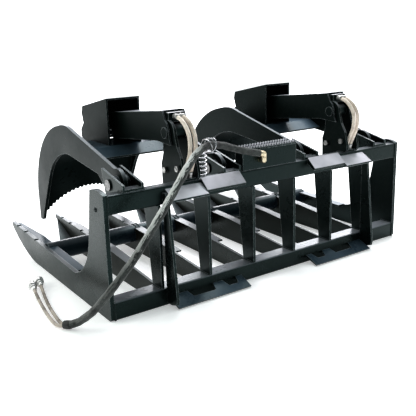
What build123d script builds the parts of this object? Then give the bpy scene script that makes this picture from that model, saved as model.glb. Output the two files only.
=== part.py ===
from build123d import *
from math import atan2, cos, degrees, hypot, pi, radians, sin, tan
import os

# Root grapple bucket for a skid-steer loader: a frame of tines between two side plates,
# and two hydraulic grapple arms that close onto the tine tips.
# X runs across the machine, +Y towards the tine tips, +Z up, the floor at Z = 0.
# Side outlines are written as (y, z) pairs, y counted forward from the tubes' rear face.

os.makedirs("parts", exist_ok=True)

# Overall sizes of the frame
WIDTH = 1676.0
SIDE_T = 19.0
TINE_T = 12.0
TINE_COUNT = 6
TIP_Y = 1165.0
TINE_TIP_Y = 1148.0
COUPLER_REACH = 78.0
TOP_Z = 506.0

# Tubes and the cross pipe
BOTTOM_TUBE = 76.2
TOP_TUBE_DEPTH = 50.8
TOP_TUBE_HEIGHT = 76.2
TUBE_WALL = 6.35
TUBE_CORNER = 8.0
PIPE_OD = 88.9
PIPE_WALL = 7.0
PIPE_Y = 710.0
PIPE_Z = 86.0

# Side plates
SIDE_CROWN = 17.0
SIDE_TINE_Z = 104.0
SIDE_TIP_Z = 136.0
THROAT_Y = 334.0
TOE_Y = 840.0
STRIP_WIDTH = 40.0
STRIP_T = 10.0
STRIP_START_Y = 350.0
STRIP_END_Y = 1128.0

# Inner tines, with a flange along the top edge
TINE_ROOT_Z = 80.0
TINE_TOP_Z = 116.0
TINE_TIP_Z = 138.0
TINE_NOSE_Z = 118.0
TINE_KNEE_Y = 504.0
FLANGE_WIDTH = 32.0
FLANGE_T = 8.0
FLANGE_START_Y = 300.0
FLANGE_END_Y = 1110.0
NOTCHES = (95.0, 205.0, 350.0)
NOTCH_WIDTH = 20.0
NOTCH_DEPTH = 9.0

# Spear wings under the tine tips
WING_LENGTH = 240.0
WING_HALF_WIDTH = 82.0
WING_T = 8.0
WING_START = 18.0

# Uprights between the tubes
UPRIGHT_HEAD = 116.0

# Coupler on the rear of the frame
GUSSET_T = 12.0
GUSSET_X = 576.0
GUSSET_TOP_Z = 480.0
GUSSET_TOP_REACH = 34.0
GUSSET_FOOT_Z = 12.0
FLANGE_PLATE_T = 8.0
FLANGE_PLATE_REACH = 62.0
FLANGE_PLATE_TOP = 494.0
FLANGE_PLATE_DROP = 36.0
UPPER_LIP_OUTER_X = 399.0
UPPER_LIP_INNER_X = 200.0
UPPER_LIP_T = 12.0
UPPER_LIP_REACH = 50.0
UPPER_LIP_DROP = 44.0
UPPER_LIP_RISE = 8.0
LOWER_LIP_INNER_X = 197.0
LOWER_LIP_TOP_Z = 38.0
LOWER_LIP_REACH = 74.0
LOWER_LIP_BOTTOM_Z = 8.0
LOWER_LIP_T = 12.0
RECESS_DEPTH = 36.0
RECESSES = ((362.0, 480.0), (241.0, 298.0))

# Step box and its serrated tread on the top tube
STEP_LEFT_X = -178.0
STEP_RIGHT_X = 128.0
STEP_DEPTH = 54.0
STEP_HEIGHT = 85.0
STEP_T = 6.0
TREAD_T = 8.0
TREAD_PITCH = 9.0
TREAD_TOOTH = 4.0

# Grapple arms: the arms are alike, ARM_X to each side of the middle
ARM_X = 467.5
HOOK_HALF_SPACING = 237.5
HOOK_T = 16.0
PIVOT_Y = 125.0
PIVOT_Z = 515.0
HINGE_PIN_D = 32.0
HUB_OD = 64.0
PIN_GAP = 0.05
FACE_GAP = 0.5
EAR_HALF_SPACING = 41.0
EAR_T = 10.0
EAR_FOOT = 66.0
WEB_T = 10.0
PIN_HEAD_D = 46.0
PIN_HEAD_T = 6.0
HOOK_ROOT_RADIUS = 60.0
HOOK_TIP_Z = 153.0

# Skin between the hooks, with its arched and serrated lower edge
SKIN_T = 8.0
SKIN_DECK_Z = 588.0
ARCH_FOOT_Z = 192.0
ARCH_CROWN_Z = 312.0
ARCH_TEETH = 24
SKIN_BEND = 234.0
SKIN_BEND_Y = 690.0
SKIN_LEAN = 66.6
SKIN_DECK_REAR_Y = 504.0
SKIN_REAR_Y = 430.0
SKIN_REAR_Z = 553.0
ARCH_TOOTH = 10.0

# Nose box on the skin
NOSE_HALF_WIDTH = 85.0
NOSE_T = 8.0
NOSE_REAR_Y = 521.0
NOSE_REAR_Z = 811.0
NOSE_FOOT_Y = 800.0

# Hydraulic cylinder, its guard and its tower
CYLINDER_OFFSET = 17.5
BASE_Y = 90.0
BASE_Z = 700.0
ROD_EYE_Y = 700.0
ROD_EYE_Z = 640.0
BASE_PIN_D = 32.0
ROD_PIN_D = 25.0
BARREL_OD = 76.0
BARREL_BORE = 60.0
BARREL_LENGTH = 400.0
BARREL_BASE = 62.0
BARREL_CAP = 18.0
BASE_EYE_OD = 62.0
ROD_D = 30.0
ROD_TAIL = 330.0
ROD_EYE_OD = 52.0
ROD_EYE_WIDTH = 40.0
LUG_T = 12.0
ROD_PIN_HEAD_D = 36.0
ROD_PIN_HEAD_T = 5.0
TOWER_HALF_WIDTH = 42.0
TOWER_T = 12.0
TOWER_HEAD = 50.0
BLOCK_DEPTH = 20.0
BLOCK_HEIGHT = 38.0
BLOCK_SINK = 8.0
GUARD_HALF_WIDTH = 54.0
GUARD_T = 8.0
GUARD_TOP = 89.0
ROOF_START = 30.0
GUARD_BOTTOM = 32.0
GUARD_LENGTH = 484.0
MOUNT_FOOT = 30.0
MOUNT_FOOT_AT = 300.0

# Fasteners
BOLT_D = 16.0
BOLT_HEAD = 24.0
BOLT_HEAD_T = 10.0

# Hoses
BUNDLE_D = 32.0
TAIL_D = 14.0
CYLINDER_HOSE_D = 18.0
COUPLER_STEPS = ((20.0, 26.0), (52.0, 38.0), (16.0, 43.0), (30.0, 28.0))
FITTING_D = 26.0
CYLINDER_HOSE_OFFSET = 13.0
ELBOW_LENGTH = 26.0
ELBOW_DROP = 28.0
WIRE_D = 5.0
SPRING_OD = 46.0
SPRING_HEIGHT = 112.0
SPRING_TURNS = 6
LOOP_RADIUS = 27.0
SPRING_X = -374.0
SPRING_Y = 25.4

# Places that follow from the sizes above
MID_Y = (TIP_Y - COUPLER_REACH) / 2
INNER_X = WIDTH / 2 - SIDE_T
PITCH = WIDTH / (TINE_COUNT + 1)
TINE_X = [(i + 1) * PITCH - WIDTH / 2 for i in range(TINE_COUNT)]
TOP_UNDER = TOP_Z - TOP_TUBE_HEIGHT
PIPE_R = PIPE_OD / 2
ARMS = (("left", -ARM_X), ("right", ARM_X))
SKIN_TOP = SKIN_DECK_Z + SKIN_T
STROKE_ANGLE = atan2(ROD_EYE_Z - BASE_Z, ROD_EYE_Y - BASE_Y)
CYLINDER_REACH = hypot(ROD_EYE_Y - BASE_Y, ROD_EYE_Z - BASE_Z)


def side(x):
    """Plane across the machine at x: forward from the tubes' rear face, then up."""
    return Plane(origin=(x, -MID_Y, 0), x_dir=(0, 1, 0), z_dir=(1, 0, 0))


def level(z):
    """Flat plane at height z, its second axis counted from the tubes' rear face."""
    return Plane(origin=(0, -MID_Y, z), x_dir=(1, 0, 0), z_dir=(0, 0, 1))


def facing(y):
    """Upright plane at y that looks to the rear: across, then up."""
    return Plane(origin=(0, y - MID_Y, 0), x_dir=(1, 0, 0), z_dir=(0, -1, 0))


def along_cylinder(x):
    """Plane across the machine at x whose first axis runs along a cylinder from its base pin."""
    return Plane(
        origin=(x, BASE_Y - MID_Y, BASE_Z),
        x_dir=(0, cos(STROKE_ANGLE), sin(STROKE_ANGLE)),
        z_dir=(1, 0, 0),
    )


def save(piece, name):
    """Label a finished piece and write it to its own file."""
    piece.part.label = name
    export_step(piece.part, f"parts/{name}.step")


def notched(start, end):
    """Straight edge from start forward to end, with the notches cut down into it."""
    slope = (end[1] - start[1]) / (end[0] - start[0])
    points = [start]
    for back in sorted(NOTCHES, reverse=True):
        y = end[0] - back
        z = start[1] + slope * (y - start[0])
        points += [(y, z), (y + NOTCH_WIDTH / 2, z - NOTCH_DEPTH),
                   (y + NOTCH_WIDTH, z + slope * NOTCH_WIDTH)]
    return points + [end]


# Side plates: each is an upright and a tine in one
SIDE_TIP = (TIP_Y, SIDE_TIP_Z)
SIDE_RISE = (SIDE_TIP_Z - SIDE_TINE_Z) / (TIP_Y - THROAT_Y)
for hand, x in (("left", -WIDTH / 2), ("right", INNER_X)):
    with BuildPart() as side_plate:
        with BuildSketch(side(x)):
            with BuildLine():
                Line((0, 0), (0, TOP_Z + 3))
                ThreePointArc((0, TOP_Z + 3), (62, TOP_Z + SIDE_CROWN), (118, TOP_Z + 6))
                Line((118, TOP_Z + 6), (160, 290))
                ThreePointArc((160, 290), (212, 183), (THROAT_Y, SIDE_TINE_Z))
                Polyline(*notched((THROAT_Y, SIDE_TINE_Z), SIDE_TIP))
                Line(SIDE_TIP, (TIP_Y - 5, SIDE_TIP_Z - 22))
                ThreePointArc((TIP_Y - 5, SIDE_TIP_Z - 22), (TIP_Y - 140, 44), (TOE_Y, 0))
                Line((TOE_Y, 0), (0, 0))
            make_face()
        extrude(amount=SIDE_T)
        heel = side_plate.edges().filter_by(Axis.X).sort_by(Axis.Z).group_by(Axis.Z)[0].sort_by(Axis.Y)[0]
        fillet(heel, radius=12)
    save(side_plate, f"side_plate_{hand}")

# Flat strips inside the side plates, flush with their top edges and broken by the pipe
with BuildPart() as edge_strips:
    for x, into in ((-INNER_X, 1), (INNER_X, -1)):
        with BuildSketch(side(x)):
            with BuildLine():
                strip_top = [
                    (y, SIDE_TINE_Z + SIDE_RISE * (y - THROAT_Y))
                    for y in (STRIP_START_Y, STRIP_END_Y)
                ]
                Polyline(*strip_top, (STRIP_END_Y, strip_top[1][1] - STRIP_T),
                         (STRIP_START_Y, strip_top[0][1] - STRIP_T), close=True)
            make_face()
        extrude(amount=into * STRIP_WIDTH)
    with BuildSketch(level(0)):
        for into in (1, -1):
            with BuildLine():
                Polyline((-into * (INNER_X - 14), STRIP_END_Y + 1),
                         (-into * (INNER_X - STRIP_WIDTH), 860),
                         (-into * (INNER_X - STRIP_WIDTH - 10), STRIP_END_Y + 1), close=True)
            make_face()
    extrude(amount=2 * SIDE_TIP_Z, mode=Mode.SUBTRACT)
    with BuildSketch(side(-INNER_X)):
        with Locations((PIPE_Y, PIPE_Z)):
            Circle(PIPE_R)
    extrude(amount=2 * INNER_X, mode=Mode.SUBTRACT)
save(edge_strips, "edge_strips")

# Inner tines: an upright leg with a notched top edge and a flange to one side
TINE_TIP = (TINE_TIP_Y, TINE_TIP_Z)
TINE_RISE = (TINE_TIP_Z - TINE_TOP_Z) / (TINE_TIP_Y - TINE_KNEE_Y)
ROOT_Y = BOTTOM_TUBE + 4
ROOT_RISE = (TINE_TOP_Z - TINE_ROOT_Z) / (TINE_KNEE_Y - ROOT_Y)
for number, x in enumerate(TINE_X, 1):
    with BuildPart() as tine:
        with BuildSketch(side(x - TINE_T / 2)):
            with BuildLine():
                Polyline((BOTTOM_TUBE, 0), (BOTTOM_TUBE, BOTTOM_TUBE - TUBE_CORNER),
                         (ROOT_Y, TINE_ROOT_Z),
                         *notched((TINE_KNEE_Y, TINE_TOP_Z), TINE_TIP),
                         (TINE_TIP_Y, TINE_NOSE_Z), (TOE_Y, 0), close=True)
            make_face()
        extrude(amount=TINE_T)
        with BuildSketch(side(x + TINE_T / 2)):
            with BuildLine():
                flange_start_z = TINE_ROOT_Z + ROOT_RISE * (FLANGE_START_Y - ROOT_Y)
                flange_end_z = TINE_TOP_Z + TINE_RISE * (FLANGE_END_Y - TINE_KNEE_Y)
                Polyline((FLANGE_START_Y, flange_start_z), (TINE_KNEE_Y, TINE_TOP_Z),
                         (FLANGE_END_Y, flange_end_z),
                         (FLANGE_END_Y, flange_end_z - FLANGE_T), (TINE_KNEE_Y, TINE_TOP_Z - FLANGE_T),
                         (FLANGE_START_Y, flange_start_z - FLANGE_T), close=True)
            make_face()
        extrude(amount=FLANGE_WIDTH)
        with BuildSketch(level(0)):
            with BuildLine():
                outer = x + TINE_T / 2 + FLANGE_WIDTH
                Polyline((x + TINE_T / 2 + 4, FLANGE_END_Y + 1), (outer, 900),
                         (outer + 5, FLANGE_END_Y + 1), close=True)
            make_face()
        extrude(amount=2 * TINE_TIP_Z, mode=Mode.SUBTRACT)
        with BuildSketch(side(x - TINE_T)):
            with Locations((PIPE_Y, PIPE_Z)):
                Circle(PIPE_R)
        extrude(amount=FLANGE_WIDTH + 3 * TINE_T, mode=Mode.SUBTRACT)
    save(tine, f"tine_{number}")

# Spear wings: a flat triangle to each side of a tine, along its rising lower edge
wing_angle = atan2(TINE_NOSE_Z, TINE_TIP_Y - TOE_Y)
with BuildPart() as spear_tips:
    for x in TINE_X:
        nose = Plane(
            origin=(x, TINE_TIP_Y - WING_START - MID_Y, TINE_NOSE_Z - WING_START * tan(wing_angle)),
            x_dir=(1, 0, 0),
            z_dir=(0, -sin(wing_angle), cos(wing_angle)),
        )
        with BuildSketch(nose):
            for to in (-1, 1):
                with BuildLine():
                    Polyline((to * TINE_T / 2, 0), (to * WING_HALF_WIDTH, -WING_LENGTH),
                             (to * TINE_T / 2, -WING_LENGTH), close=True)
                make_face()
        extrude(amount=WING_T)
save(spear_tips, "spear_tips")

# Uprights between the two tubes
for number, x in enumerate(TINE_X, 1):
    with BuildPart() as upright:
        with BuildSketch(side(x - TINE_T / 2)):
            with BuildLine():
                Polyline((0, BOTTOM_TUBE), (BOTTOM_TUBE, BOTTOM_TUBE), (UPRIGHT_HEAD, TOP_UNDER),
                         (0, TOP_UNDER), close=True)
            make_face()
        extrude(amount=TINE_T)
    save(upright, f"upright_{number}")

# Square bottom tube and rectangular top tube, from side plate to side plate
with BuildPart() as bottom_tube:
    with BuildSketch(side(-INNER_X)):
        with Locations((BOTTOM_TUBE / 2, BOTTOM_TUBE / 2)):
            RectangleRounded(BOTTOM_TUBE, BOTTOM_TUBE, TUBE_CORNER)
            RectangleRounded(BOTTOM_TUBE - 2 * TUBE_WALL, BOTTOM_TUBE - 2 * TUBE_WALL,
                             TUBE_CORNER - TUBE_WALL, mode=Mode.SUBTRACT)
    extrude(amount=2 * INNER_X)
save(bottom_tube, "bottom_tube")

with BuildPart() as top_tube:
    with BuildSketch(side(-INNER_X)):
        with Locations((TOP_TUBE_DEPTH / 2, TOP_Z - TOP_TUBE_HEIGHT / 2)):
            RectangleRounded(TOP_TUBE_DEPTH, TOP_TUBE_HEIGHT, TUBE_CORNER)
            RectangleRounded(TOP_TUBE_DEPTH - 2 * TUBE_WALL, TOP_TUBE_HEIGHT - 2 * TUBE_WALL,
                             TUBE_CORNER - TUBE_WALL, mode=Mode.SUBTRACT)
    extrude(amount=2 * INNER_X)
save(top_tube, "top_tube")

# Round pipe laid in the tines
with BuildPart() as cross_pipe:
    with BuildSketch(side(-INNER_X)):
        with Locations((PIPE_Y, PIPE_Z)):
            Circle(PIPE_R)
            Circle(PIPE_R - PIPE_WALL, mode=Mode.SUBTRACT)
    extrude(amount=2 * INNER_X)
save(cross_pipe, "cross_pipe")

# Coupler gussets behind the outermost inner tines
with BuildPart() as coupler_gussets:
    for x in (-GUSSET_X, GUSSET_X):
        with BuildSketch(side(x - GUSSET_T / 2)):
            with BuildLine():
                Polyline((0, GUSSET_FOOT_Z), (0, GUSSET_TOP_Z), (-18, GUSSET_TOP_Z),
                         (-GUSSET_TOP_REACH, GUSSET_TOP_Z - 16),
                         (-COUPLER_REACH, 47), (-COUPLER_REACH + 4, 24), (-36, GUSSET_FOOT_Z),
                         close=True)
            make_face()
        extrude(amount=GUSSET_T)
save(coupler_gussets, "coupler_gussets")

# Sloping plates along the top of the coupler: low outer plates and the upper lips
with BuildPart() as coupler_upper_plates:
    for hand in (-1, 1):
        with BuildSketch(side(hand * UPPER_LIP_OUTER_X)):
            with BuildLine():
                Polyline((0, FLANGE_PLATE_TOP - FLANGE_PLATE_T), (0, FLANGE_PLATE_TOP),
                         (-FLANGE_PLATE_REACH, FLANGE_PLATE_TOP - FLANGE_PLATE_DROP),
                         (-FLANGE_PLATE_REACH, FLANGE_PLATE_TOP - FLANGE_PLATE_DROP - FLANGE_PLATE_T),
                         close=True)
            make_face()
        extrude(amount=hand * (GUSSET_X - GUSSET_T / 2 - UPPER_LIP_OUTER_X))
        with BuildSketch(side(hand * UPPER_LIP_INNER_X)):
            with BuildLine():
                Polyline((0, TOP_Z - TUBE_CORNER - UPPER_LIP_T), (0, TOP_Z + UPPER_LIP_RISE),
                         (-UPPER_LIP_REACH, TOP_Z + UPPER_LIP_RISE - UPPER_LIP_DROP),
                         (-UPPER_LIP_REACH + 6, TOP_Z - UPPER_LIP_DROP - 4), close=True)
            make_face()
        extrude(amount=hand * (UPPER_LIP_OUTER_X - UPPER_LIP_INNER_X))
save(coupler_upper_plates, "coupler_upper_plates")

# Lower lips: sloping plates whose upper edge has recesses over the loader's wedges
lip_slope = atan2(LOWER_LIP_TOP_Z - LOWER_LIP_BOTTOM_Z, LOWER_LIP_REACH)
lip_run = hypot(LOWER_LIP_TOP_Z - LOWER_LIP_BOTTOM_Z, LOWER_LIP_REACH)
for hand, to in (("left", -1), ("right", 1)):
    with BuildPart() as lower_lip:
        outer_x = to * (GUSSET_X - GUSSET_T / 2)
        inner_x = to * LOWER_LIP_INNER_X
        with BuildSketch(side(inner_x)):
            with BuildLine():
                Polyline((0, LOWER_LIP_TOP_Z), (-LOWER_LIP_REACH, LOWER_LIP_BOTTOM_Z),
                         (-LOWER_LIP_REACH + LOWER_LIP_T * sin(lip_slope),
                          LOWER_LIP_BOTTOM_Z - LOWER_LIP_T * cos(lip_slope) + 6),
                         (0, LOWER_LIP_TOP_Z - LOWER_LIP_T), close=True)
            make_face()
        extrude(amount=outer_x - inner_x)
        with BuildSketch(level(0)):
            for low, high in RECESSES:
                with BuildLine():
                    Polyline((to * (low - 10), 1), (to * low, -RECESS_DEPTH),
                             (to * (high - 8), -RECESS_DEPTH),
                             (to * (high + 4), 1), close=True)
                make_face()
        extrude(amount=TOP_UNDER, mode=Mode.SUBTRACT)
    save(lower_lip, f"coupler_lower_lip_{hand}")

# Step box on the top tube, open to the front
STEP_TOP = TOP_Z + STEP_HEIGHT
with BuildPart() as step_box:
    with BuildSketch(level(TOP_Z)):
        with Locations(((STEP_LEFT_X + STEP_RIGHT_X) / 2, STEP_DEPTH / 2)):
            Rectangle(STEP_RIGHT_X - STEP_LEFT_X, STEP_DEPTH)
        with Locations(((STEP_LEFT_X + STEP_RIGHT_X) / 2, STEP_DEPTH / 2 + STEP_T)):
            Rectangle(STEP_RIGHT_X - STEP_LEFT_X - 2 * STEP_T, STEP_DEPTH, mode=Mode.SUBTRACT)
    extrude(amount=STEP_HEIGHT)
save(step_box, "step_box")

with BuildPart() as step_tread:
    with BuildSketch(level(STEP_TOP)):
        with BuildLine():
            teeth = int((STEP_RIGHT_X - STEP_LEFT_X) / TREAD_PITCH)
            pitch = (STEP_RIGHT_X - STEP_LEFT_X) / teeth
            rear_edge = []
            front_edge = []
            for i in range(teeth):
                valley = STEP_LEFT_X + i * pitch
                rear_edge += [(valley, 0), (valley + pitch / 2, -TREAD_TOOTH)]
                front_edge += [(valley, STEP_DEPTH), (valley + pitch / 2, STEP_DEPTH + TREAD_TOOTH)]
            rear_edge.append((STEP_RIGHT_X, 0))
            front_edge.append((STEP_RIGHT_X, STEP_DEPTH))
            Polyline(*rear_edge, *reversed(front_edge), close=True)
        make_face()
    extrude(amount=TREAD_T)
save(step_tread, "step_tread")

# Hinge brackets: two ears over the top tube and a web between them
HOOK_X = [arm + to * HOOK_HALF_SPACING for _, arm in ARMS for to in (-1, 1)]
for number, x in enumerate(HOOK_X, 1):
    with BuildPart() as hinge_bracket:
        for to in (-1, 1):
            with BuildSketch(side(x + to * EAR_HALF_SPACING - EAR_T / 2)):
                with BuildLine():
                    Polyline((5, TOP_Z), (5, TOP_Z + 27), (185, 575), (162, 478),
                             (122, TOP_Z - EAR_FOOT),
                             (TOP_TUBE_DEPTH, TOP_Z - EAR_FOOT), (TOP_TUBE_DEPTH, TOP_Z), close=True)
                make_face()
                with Locations((PIVOT_Y, PIVOT_Z)):
                    Circle(HINGE_PIN_D / 2 + PIN_GAP, mode=Mode.SUBTRACT)
            extrude(amount=EAR_T)
        with BuildSketch(level(TOP_Z)):
            with Locations((x, (5 + TOP_TUBE_DEPTH) / 2)):
                Rectangle(2 * EAR_HALF_SPACING, TOP_TUBE_DEPTH - 5)
        extrude(amount=WEB_T)
    save(hinge_bracket, f"hinge_bracket_{number}")

# Hinge pins with a head at each end, one through each bracket
EAR_OUTER = EAR_HALF_SPACING + EAR_T / 2
with BuildPart() as hinge_pins:
    for x in HOOK_X:
        with BuildSketch(side(x - EAR_OUTER - FACE_GAP)):
            with Locations((PIVOT_Y, PIVOT_Z)):
                Circle(HINGE_PIN_D / 2)
        extrude(amount=2 * (EAR_OUTER + FACE_GAP))
        for start, into in ((x - EAR_OUTER - FACE_GAP, -1), (x + EAR_OUTER + FACE_GAP, 1)):
            with BuildSketch(side(start)):
                with Locations((PIVOT_Y, PIVOT_Z)):
                    Circle(PIN_HEAD_D / 2)
            extrude(amount=into * PIN_HEAD_T)
save(hinge_pins, "hinge_pins")

# Cylinder towers: two plates over the top tube, joined by a foot
for hand, arm in ARMS:
    x = arm + CYLINDER_OFFSET
    with BuildPart() as tower:
        for to in (-1, 1):
            with BuildSketch(side(x + to * (TOWER_HALF_WIDTH - TOWER_T / 2) - TOWER_T / 2)):
                with BuildLine():
                    Polyline((BASE_Y + TOWER_HEAD, BASE_Z), (130, 650), (133, 609), (151, 563),
                             (150, 478),
                             (118, TOP_Z - EAR_FOOT), (TOP_TUBE_DEPTH, TOP_Z - EAR_FOOT),
                             (TOP_TUBE_DEPTH, TOP_Z),
                             (0, TOP_Z), (-16, TOP_Z + 14), (-16, 540), (-1, 604), (25, 648),
                             (BASE_Y - TOWER_HEAD, BASE_Z))
                    ThreePointArc((BASE_Y - TOWER_HEAD, BASE_Z), (BASE_Y, BASE_Z + TOWER_HEAD),
                                  (BASE_Y + TOWER_HEAD, BASE_Z))
                make_face()
                with Locations((BASE_Y, BASE_Z)):
                    Circle(BASE_PIN_D / 2 + PIN_GAP, mode=Mode.SUBTRACT)
                with Locations((20, 560), (118, 540)):
                    Circle(BOLT_D / 2 + PIN_GAP, mode=Mode.SUBTRACT)
            extrude(amount=TOWER_T)
        with BuildSketch(level(TOP_Z)):
            with Locations((x, TOP_TUBE_DEPTH / 2)):
                Rectangle(2 * (TOWER_HALF_WIDTH - TOWER_T), TOP_TUBE_DEPTH)
        extrude(amount=WEB_T)
        with BuildSketch(level(BASE_Z + TOWER_HEAD - BLOCK_SINK)):
            with Locations((x, BASE_Y)):
                Rectangle(2 * TOWER_HALF_WIDTH - 2, BLOCK_DEPTH)
        extrude(amount=BLOCK_HEIGHT)
    save(tower, f"cylinder_tower_{hand}")

# Bolts through the tower plates
with BuildPart() as tower_bolts:
    for _, arm in ARMS:
        x = arm + CYLINDER_OFFSET
        for y, z in ((20, 560), (118, 540)):
            for start, into in ((x - TOWER_HALF_WIDTH, -1), (x + TOWER_HALF_WIDTH, 1)):
                with BuildSketch(side(start)):
                    with Locations((y, z)):
                        RegularPolygon(BOLT_HEAD / 2, 6, major_radius=False)
                extrude(amount=into * BOLT_HEAD_T)
                with BuildSketch(side(start)):
                    with Locations((y, z)):
                        Circle(BOLT_D / 2)
                extrude(amount=-into * (TOWER_T + 4))
save(tower_bolts, "tower_bolts")

# Base pins of the cylinders, through guard, tower and barrel eye
with BuildPart() as base_pins:
    for _, arm in ARMS:
        x = arm + CYLINDER_OFFSET
        with BuildSketch(side(x - GUARD_HALF_WIDTH - FACE_GAP)):
            with Locations((BASE_Y, BASE_Z)):
                Circle(BASE_PIN_D / 2)
        extrude(amount=2 * (GUARD_HALF_WIDTH + FACE_GAP))
        for start, into in ((x - GUARD_HALF_WIDTH - FACE_GAP, -1), (x + GUARD_HALF_WIDTH + FACE_GAP, 1)):
            with BuildSketch(side(start)):
                with Locations((BASE_Y, BASE_Z)):
                    Circle(PIN_HEAD_D / 2)
            extrude(amount=into * PIN_HEAD_T)
save(base_pins, "cylinder_base_pins")

# Hooks: curved plates with a hub round the hinge pin
for number, x in enumerate(HOOK_X, 1):
    with BuildPart() as hook:
        with BuildSketch(side(x - HOOK_T / 2)):
            with BuildLine():
                Line((1071, HOOK_TIP_Z), (1071, 307))
                ThreePointArc((1071, 307), (966, 551), (720, 684))
                ThreePointArc((720, 684), (640, 694), (560, 678))
                Line((560, 678), (148, 572))
                ThreePointArc((148, 572), (PIVOT_Y - HOOK_ROOT_RADIUS, PIVOT_Z),
                              (PIVOT_Y, PIVOT_Z - HOOK_ROOT_RADIUS))
                Line((PIVOT_Y, PIVOT_Z - HOOK_ROOT_RADIUS), (242, 474))
                Line((242, 474), (305, 525))
                Line((305, 525), (560, 556))
                ThreePointArc((560, 556), (770, 523), (886, 414))
                Polyline((886, 414), (1015, 195), (1030, HOOK_TIP_Z + 10), (1040, HOOK_TIP_Z),
                         (1071, HOOK_TIP_Z))
            make_face()
        extrude(amount=HOOK_T)
        hub_half = EAR_HALF_SPACING - EAR_T / 2 - FACE_GAP
        with BuildSketch(side(x - hub_half)):
            with Locations((PIVOT_Y, PIVOT_Z)):
                Circle(HUB_OD / 2)
        extrude(amount=2 * hub_half)
        with BuildSketch(side(x - hub_half)):
            with Locations((PIVOT_Y, PIVOT_Z)):
                Circle(HINGE_PIN_D / 2 + PIN_GAP)
        extrude(amount=2 * hub_half, mode=Mode.SUBTRACT)
    save(hook, f"hook_{number}")

# Skin between the two hooks of an arm, with the lugs that hold the rod pin
skin_half = HOOK_HALF_SPACING - HOOK_T / 2
arch_rise = ARCH_CROWN_Z - ARCH_FOOT_Z
arch_radius = (skin_half**2 + arch_rise**2) / (2 * arch_rise)
arch_half_angle = atan2(skin_half, arch_radius - arch_rise)
BEND_CENTRE = (SKIN_BEND_Y, SKIN_DECK_Z - SKIN_BEND)
lean = radians(SKIN_LEAN)
front_start = (SKIN_BEND_Y + SKIN_BEND * sin(lean), BEND_CENTRE[1] + SKIN_BEND * cos(lean))
front_drop = front_start[1] - ARCH_FOOT_Z + ARCH_TOOTH
front_end = (front_start[0] + front_drop / tan(lean), front_start[1] - front_drop)
rear_end = (SKIN_REAR_Y, SKIN_REAR_Z)
for hand, arm in ARMS:
    with BuildPart() as skin:
        with BuildSketch(side(arm - skin_half)):
            with BuildLine():
                inner = CenterArc(BEND_CENTRE, SKIN_BEND, 90 - SKIN_LEAN, SKIN_LEAN)
                outer = CenterArc(BEND_CENTRE, SKIN_BEND + SKIN_T, 90 - SKIN_LEAN, SKIN_LEAN)
                front_outer = (front_end[0] + SKIN_T * sin(lean), front_end[1] + SKIN_T * cos(lean))
                Polyline(inner @ 0, front_end, front_outer, outer @ 0)
                Polyline(inner @ 1, (SKIN_DECK_REAR_Y, SKIN_DECK_Z), rear_end,
                         (SKIN_REAR_Y - 3, SKIN_REAR_Z + SKIN_T), (SKIN_DECK_REAR_Y - 2, SKIN_TOP),
                         outer @ 1)
            make_face()
        extrude(amount=2 * skin_half)
        with BuildSketch(facing(SKIN_BEND_Y)):
            with BuildLine():
                crown = []
                for i in range(2 * ARCH_TEETH + 1):
                    swing = arch_half_angle * (i / ARCH_TEETH - 1)
                    reach = arch_radius + (ARCH_TOOTH if i % 2 else 0)
                    crown.append((arm + reach * sin(swing), ARCH_CROWN_Z - arch_radius + reach * cos(swing)))
                Polyline((arm - skin_half - 1, 0), (arm - skin_half - 1, ARCH_FOOT_Z), *crown,
                         (arm + skin_half + 1, ARCH_FOOT_Z), (arm + skin_half + 1, 0), close=True)
            make_face()
        extrude(amount=-TIP_Y, mode=Mode.SUBTRACT)
        lug_inner = ROD_EYE_WIDTH / 2 + FACE_GAP
        x = arm + CYLINDER_OFFSET
        lug_foot = SKIN_TOP - SKIN_T / 2
        for start in (x - lug_inner - LUG_T, x + lug_inner):
            with BuildSketch(side(start)):
                with Locations((ROD_EYE_Y, ROD_EYE_Z)):
                    Circle(ROD_EYE_OD / 2)
                with Locations((ROD_EYE_Y, (lug_foot + ROD_EYE_Z) / 2)):
                    Rectangle(ROD_EYE_OD, ROD_EYE_Z - lug_foot)
                with Locations((ROD_EYE_Y, ROD_EYE_Z)):
                    Circle(ROD_PIN_D / 2 + PIN_GAP, mode=Mode.SUBTRACT)
            extrude(amount=LUG_T)
    save(skin, f"arm_skin_{hand}")

# Nose box on the skin, open to the rear, over the front end of the guard
nose_foot_angle = degrees(atan2(NOSE_FOOT_Y - SKIN_BEND_Y, SKIN_BEND + SKIN_T))
for hand, arm in ARMS:
    with BuildPart() as nose_box:
        with BuildSketch(side(arm - NOSE_HALF_WIDTH)):
            with BuildLine():
                foot = CenterArc(BEND_CENTRE, SKIN_BEND + SKIN_T, 90 - nose_foot_angle, nose_foot_angle)
                Polyline(foot @ 1, (NOSE_REAR_Y, SKIN_TOP), (NOSE_REAR_Y, NOSE_REAR_Z), (792, 757),
                         (805, 721),
                         (790, 674), (824, 640), (824, 606), foot @ 0)
            make_face()
        extrude(amount=2 * NOSE_HALF_WIDTH)
        with BuildSketch(side(arm - NOSE_HALF_WIDTH + NOSE_T)):
            with BuildLine():
                Polyline((NOSE_REAR_Y - 1, SKIN_REAR_Z), (NOSE_REAR_Y - 1, NOSE_REAR_Z - NOSE_T),
                         (786, 749), (796, 720),
                         (781, 672), (815, 637), (815, 609), (782, SKIN_REAR_Z), close=True)
            make_face()
        extrude(amount=2 * (NOSE_HALF_WIDTH - NOSE_T), mode=Mode.SUBTRACT)
    save(nose_box, f"nose_box_{hand}")


def on_cylinder(x, reach):
    """Plane square to a cylinder's axis, at this reach from its base pin."""
    run = (0, cos(STROKE_ANGLE), sin(STROKE_ANGLE))
    origin = (x, BASE_Y - MID_Y + reach * run[1], BASE_Z + reach * run[2])
    return Plane(origin=origin, x_dir=(1, 0, 0), z_dir=run)


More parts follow.
